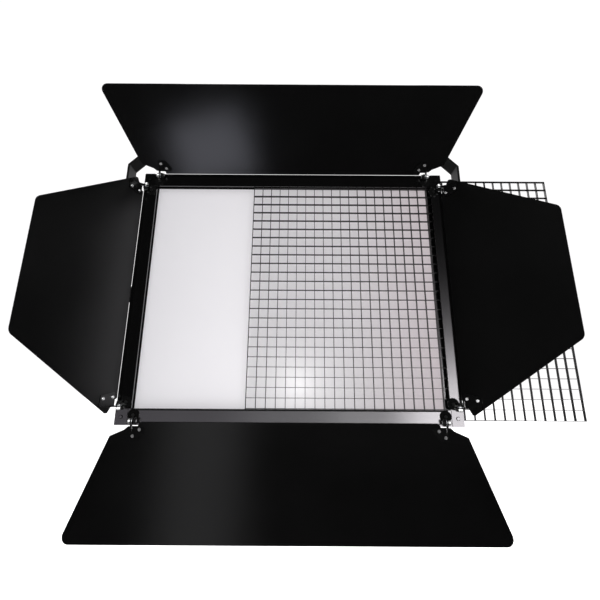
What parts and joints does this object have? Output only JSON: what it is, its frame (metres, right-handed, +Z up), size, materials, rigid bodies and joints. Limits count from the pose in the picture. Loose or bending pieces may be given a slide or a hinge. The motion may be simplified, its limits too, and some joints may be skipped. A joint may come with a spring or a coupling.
{
  "type": "led panel light",
  "caption": "Rectangular soft light panel on a tilting yoke with four hinged barn-door leaves and a slide-out egg-crate louvre.",
  "frame": {"origin": "axis of the mounting spigot, where it stands on the top face of the yoke's cross-bar", "axes": "+Z up along the spigot, -Y is the way the lit face looks, +X to the right seen from the front"},
  "size_m": [0.7787, 0.3109, 0.7225],
  "materials": {
    "black_anodised": "satin black anodised",
    "black_paint": "semi-gloss black powder coat",
    "housing_black": "fine textured black powder coat",
    "yoke_black": "satin black powder coat",
    "louvre_black": "matt black anodised",
    "opal": "opal acrylic, satin",
    "white_tray": "matt white",
    "board_white": "white solder mask",
    "board_green": "green solder mask",
    "led_yellow": "phosphor",
    "chrome": "polished",
    "zinc": "bright zinc plated",
    "steel": "turned steel",
    "black_steel": "black oxide",
    "fibre": "friction fibre",
    "knob_black": "matt moulded",
    "button_grey": "matt rubber",
    "socket_black": "moulded",
    "window": "smoked clear",
    "rocker_red": "moulded",
    "psu_metal": "folded sheet"
  },
  "bodies": {
    "yoke": {"yoke_bar": "yoke_black", "spigot": "steel", "spigot_washer": "zinc", "spigot_bolt": "zinc", "friction_washers": "fibre", "seat_washers": "zinc"},
    "head": {"rail_top": "black_anodised", "rail_bottom": "black_anodised", "rail_left": "black_anodised", "rail_right_front": "black_anodised", "rail_right_rear": "black_anodised", "corner_caps": "black_anodised", "diffuser": "opal", "reflector_box": "white_tray", "led_boards": "board_white", "led_chips": "led_yellow", "housing_shell": "housing_black", "heat_sink": "black_anodised", "rear_cover": "housing_black", "control_housing": "housing_black", "control_panel": "housing_black", "pan_head_screws": "black_steel", "control_board": "board_green", "power_supply": "psu_metal", "display_window": "window", "power_inlet": "socket_black", "data_sockets": "zinc", "rocker_frame": "socket_black", "tilt_hub_right": "black_anodised", "tilt_hub_left": "black_anodised", "hub_screws": "black_steel", "pivot_bolt": "zinc", "hinge_brackets": "black_paint", "bracket_screws": "black_steel", "hinge_washers": "zinc", "hinge_screws": "chrome", "hinge_nuts": "black_steel"},
    "louvre": {"louvre_blades_vertical": "louvre_black", "louvre_blades_horizontal": "louvre_black"},
    "top_leaf": {"leaf_top": "black_paint", "leaf_top_brackets": "black_paint", "leaf_top_rivets": "chrome"},
    "bottom_leaf": {"leaf_bottom": "black_paint", "leaf_bottom_brackets": "black_paint", "leaf_bottom_rivets": "chrome"},
    "left_leaf": {"leaf_left": "black_paint", "leaf_left_brackets": "black_paint", "leaf_left_rivets": "chrome"},
    "right_leaf": {"leaf_right": "black_paint", "leaf_right_brackets": "black_paint", "leaf_right_rivets": "chrome"},
    "tilt_clamp": {"tilt_stud": "steel", "tilt_knob": "knob_black"},
    "dimmer": {"dimmer_knob": "knob_black"},
    "colour": {"colour_knob": "knob_black"},
    "menu_button": {"button_menu": "button_grey"},
    "up_button": {"button_up": "button_grey"},
    "down_button": {"button_down": "button_grey"},
    "enter_button": {"button_enter": "button_grey"},
    "rocker": {"power_rocker": "rocker_red"}
  },
  "joints": [
    {"name": "head_tilt", "type": "hinge", "parent": "yoke", "child": "head", "pos_m": [0, 0, -0.297], "axis": [1, 0, 0], "range_deg": [-5, 90]},
    {"name": "top_leaf_hinge", "type": "hinge", "parent": "head", "child": "top_leaf", "pos_m": [0, -0.058, -0.0995], "axis": [1, 0, 0], "range_deg": [-46, 82]},
    {"name": "bottom_leaf_hinge", "type": "hinge", "parent": "head", "child": "bottom_leaf", "pos_m": [0, -0.058, -0.4945], "axis": [-1, 0, 0], "range_deg": [-3, 125]},
    {"name": "left_leaf_hinge", "type": "hinge", "parent": "head", "child": "left_leaf", "pos_m": [-0.2525, -0.058, -0.297], "axis": [0, 0, -1], "range_deg": [-111, 65]},
    {"name": "right_leaf_hinge", "type": "hinge", "parent": "head", "child": "right_leaf", "pos_m": [0.2525, -0.058, -0.297], "axis": [0, 0, 1], "range_deg": [-124, 52]},
    {"name": "louvre_slide", "type": "slide", "parent": "head", "child": "louvre", "axis": [1, 0, 0], "range_m": [-0.188, 0.326]},
    {"name": "tilt_clamp_turn", "type": "hinge", "parent": "head", "child": "tilt_clamp", "pos_m": [0.32, 0, -0.297], "axis": [1, 0, 0], "range_deg": [0, 180]},
    {"name": "dimmer_turn", "type": "hinge", "parent": "head", "child": "dimmer", "pos_m": [-0.03, 0.078, -0.403], "axis": [0, 1, 0], "continuous": true},
    {"name": "colour_turn", "type": "hinge", "parent": "head", "child": "colour", "pos_m": [-0.084, 0.078, -0.403], "axis": [0, 1, 0], "continuous": true},
    {"name": "menu_button_press", "type": "slide", "parent": "head", "child": "menu_button", "axis": [0, -1, 0], "range_m": [0, 0.0012], "stiffness_N_per_m": 800, "springref_m": -0.0005},
    {"name": "up_button_press", "type": "slide", "parent": "head", "child": "up_button", "axis": [0, -1, 0], "range_m": [0, 0.0012], "stiffness_N_per_m": 800, "springref_m": -0.0005},
    {"name": "down_button_press", "type": "slide", "parent": "head", "child": "down_button", "axis": [0, -1, 0], "range_m": [0, 0.0012], "stiffness_N_per_m": 800, "springref_m": -0.0005},
    {"name": "enter_button_press", "type": "slide", "parent": "head", "child": "enter_button", "axis": [0, -1, 0], "range_m": [0, 0.0012], "stiffness_N_per_m": 800, "springref_m": -0.0005},
    {"name": "power_rocker_tip", "type": "hinge", "parent": "head", "child": "rocker", "pos_m": [0.122, 0.067, -0.403], "axis": [1, 0, 0], "range_deg": [-14, 0]}
  ]
}
